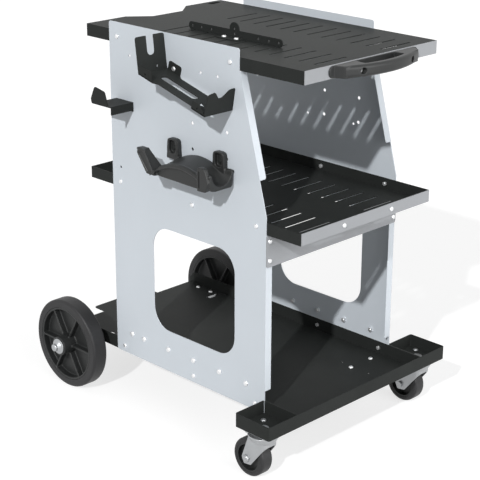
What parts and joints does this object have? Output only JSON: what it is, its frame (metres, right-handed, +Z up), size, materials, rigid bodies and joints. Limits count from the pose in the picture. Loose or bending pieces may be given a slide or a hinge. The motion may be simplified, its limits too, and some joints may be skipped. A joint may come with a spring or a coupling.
{
  "type": "welding cart",
  "caption": "Rolling welding cart with two side panels, slotted top shelf and middle tray, bottle tray, rear wheels, swivel castors, bow handle, torch and cable holders.",
  "frame": {"origin": "centre of the bounding box, on the floor under the wheels", "axes": "+X to the right panel, +Y to the rear wheels, so the bow handle faces -Y; +Z up"},
  "size_m": [0.5528, 0.7925, 0.8406],
  "materials": {
    "panel_paint": "satin",
    "grey_paint": "satin",
    "black_paint": "satin",
    "black_plastic": "matte",
    "wheel_plastic": "matte",
    "tyre_rubber": "matte",
    "screw_zinc": "satin",
    "zinc": "satin"
  },
  "bodies": {
    "frame": {"left_side_panel": "panel_paint", "right_side_panel": "panel_paint", "top_shelf": "black_paint", "top_fascia": "grey_paint", "middle_tray": "black_paint", "middle_fascia": "grey_paint", "front_crossbar": "grey_paint", "bottom_tray": "black_paint", "fixing_strip": "black_paint", "bow_handle": "black_plastic", "torch_holder": "black_paint", "cable_hook": "black_paint", "cable_hanger": "black_plastic", "rear_axle": "zinc", "axle_bearers": "zinc", "axle_spacers": "zinc", "axle_caps": "zinc", "castor_plates": "zinc", "castor_king_pins": "zinc", "castor_bolts": "zinc", "crossbar_screws": "screw_zinc", "handle_screws": "screw_zinc", "fascia_screws": "screw_zinc", "shelf_screws": "screw_zinc", "middle_screws": "screw_zinc", "base_screws": "screw_zinc", "row_screws": "screw_zinc", "holder_screws": "screw_zinc", "strip_screws": "screw_zinc", "floor_screws": "screw_zinc"},
    "left_wheel": {"left_wheel_tyre": "tyre_rubber", "left_wheel_rim": "wheel_plastic"},
    "right_wheel": {"right_wheel_tyre": "tyre_rubber", "right_wheel_rim": "wheel_plastic"},
    "left_castor": {"left_castor_fork": "zinc", "left_castor_axle": "zinc"},
    "left_castor_wheel": {"left_castor_tyre": "tyre_rubber", "left_castor_hub": "wheel_plastic"},
    "right_castor": {"right_castor_fork": "zinc", "right_castor_axle": "zinc"},
    "right_castor_wheel": {"right_castor_tyre": "tyre_rubber", "right_castor_hub": "wheel_plastic"}
  },
  "joints": [
    {"name": "left_wheel_spin", "type": "hinge", "parent": "frame", "child": "left_wheel", "pos_m": [-0.23, 0.294, 0.1], "axis": [1, 0, 0], "continuous": true},
    {"name": "left_castor_swivel", "type": "hinge", "parent": "frame", "child": "left_castor", "pos_m": [-0.237, -0.3035, 0.096], "axis": [0, 0, 1], "continuous": true},
    {"name": "left_castor_spin", "type": "hinge", "parent": "left_castor", "child": "left_castor_wheel", "pos_m": [-0.237, -0.2755, 0.04], "axis": [1, 0, 0], "continuous": true},
    {"name": "right_wheel_spin", "type": "hinge", "parent": "frame", "child": "right_wheel", "pos_m": [0.23, 0.294, 0.1], "axis": [1, 0, 0], "continuous": true},
    {"name": "right_castor_swivel", "type": "hinge", "parent": "frame", "child": "right_castor", "pos_m": [0.237, -0.3035, 0.096], "axis": [0, 0, 1], "continuous": true},
    {"name": "right_castor_spin", "type": "hinge", "parent": "right_castor", "child": "right_castor_wheel", "pos_m": [0.237, -0.2755, 0.04], "axis": [1, 0, 0], "continuous": true}
  ]
}
